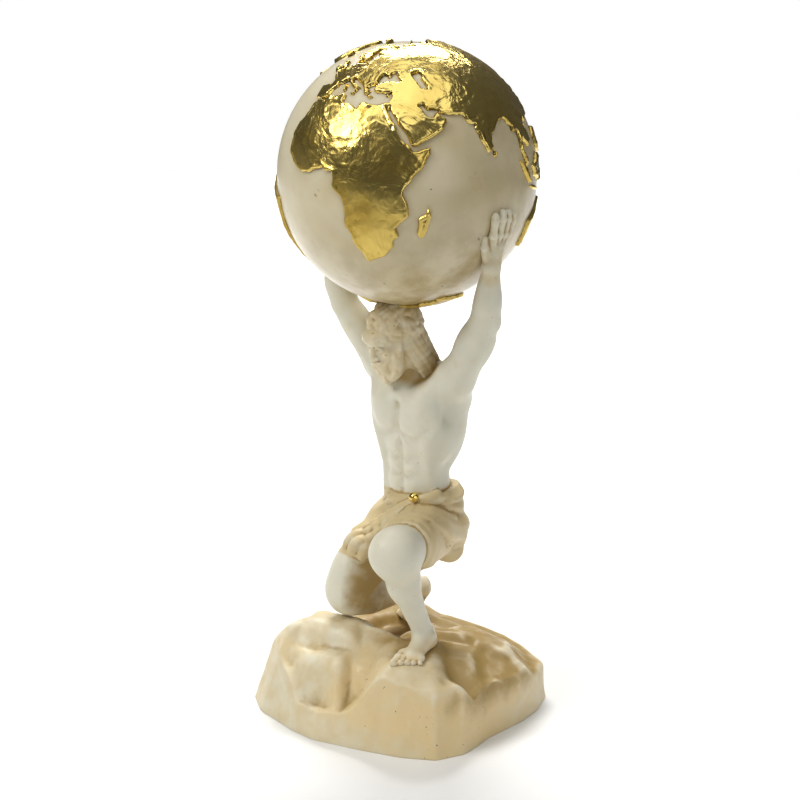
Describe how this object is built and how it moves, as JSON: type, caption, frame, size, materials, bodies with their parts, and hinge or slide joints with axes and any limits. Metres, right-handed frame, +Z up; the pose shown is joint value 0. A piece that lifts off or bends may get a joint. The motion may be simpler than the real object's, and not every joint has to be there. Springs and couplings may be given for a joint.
{
  "type": "atlas statue",
  "caption": "Bearded man in a loincloth kneeling on a rock and holding up a globe with raised gilded continents, cast in alabaster as a table statue.",
  "frame": {"origin": "middle of the rock's flat underside", "axes": "+Z up to the top of the globe; the figure's chest faces -Y and its left hand is on the +X side"},
  "size_m": [0.0903, 0.0923, 0.2404],
  "materials": {
    "alabaster": "waxed satin, cream wash in the recesses",
    "ivory sea": "polished satin",
    "gilding": "polished gold leaf, crinkled"
  },
  "bodies": {
    "root": {"atlas_statue": "alabaster"}
  },
  "joints": []
}
